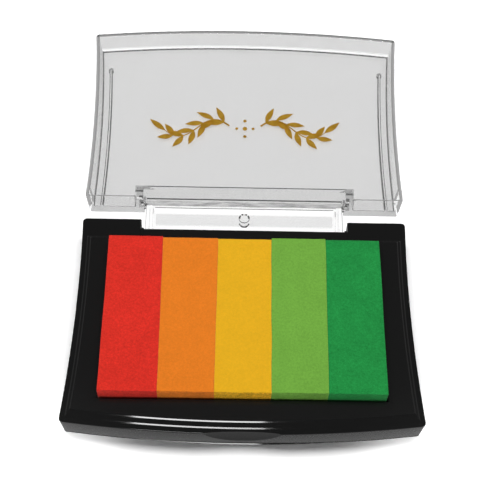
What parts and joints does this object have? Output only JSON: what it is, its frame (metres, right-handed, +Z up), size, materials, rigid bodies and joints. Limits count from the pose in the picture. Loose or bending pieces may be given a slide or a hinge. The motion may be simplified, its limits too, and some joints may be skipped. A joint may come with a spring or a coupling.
{
  "type": "ink pad",
  "caption": "Hinged ink pad: black tray with raised foam pads side by side, and a clear lid on a double-pivot link that folds flat behind the tray.",
  "frame": {"origin": "centre of the tray's underside", "axes": "+Z up, -Y towards the tray's bowed front, +Y towards the opened lid, +X to the right"},
  "size_m": [0.0978, 0.1411, 0.0138],
  "materials": {
    "black_plastic": "glossy moulded black",
    "carrier_plastic": "satin moulded black",
    "clear_plastic": "polished clear styrene",
    "foam_red": "fine-celled foam soaked in red pigment ink",
    "foam_orange": "fine-celled foam soaked in orange pigment ink",
    "foam_yellow": "fine-celled foam soaked in yellow pigment ink",
    "foam_lime": "fine-celled foam soaked in lime pigment ink",
    "foam_green": "fine-celled foam soaked in green pigment ink"
  },
  "bodies": {
    "tray": {"base_tray": "black_plastic", "base_floor": "black_plastic", "carrier_red": "carrier_plastic", "carrier_orange": "carrier_plastic", "carrier_yellow": "carrier_plastic", "carrier_lime": "carrier_plastic", "carrier_green": "carrier_plastic", "pad_red": "foam_red", "pad_orange": "foam_orange", "pad_yellow": "foam_yellow", "pad_lime": "foam_lime", "pad_green": "foam_green"},
    "link": {"hinge_link": "clear_plastic"},
    "lid": {"lid": "clear_plastic"}
  },
  "joints": [
    {"name": "tray_pivot", "type": "hinge", "parent": "tray", "child": "link", "pos_m": [0, 0.03185, 0.0038], "axis": [1, 0, 0], "range_deg": [-90, 90]},
    {"name": "lid_pivot", "type": "hinge", "parent": "link", "child": "lid", "pos_m": [0, 0.0425, 0.0038], "axis": [1, 0, 0], "range_deg": [-90, 90]}
  ]
}
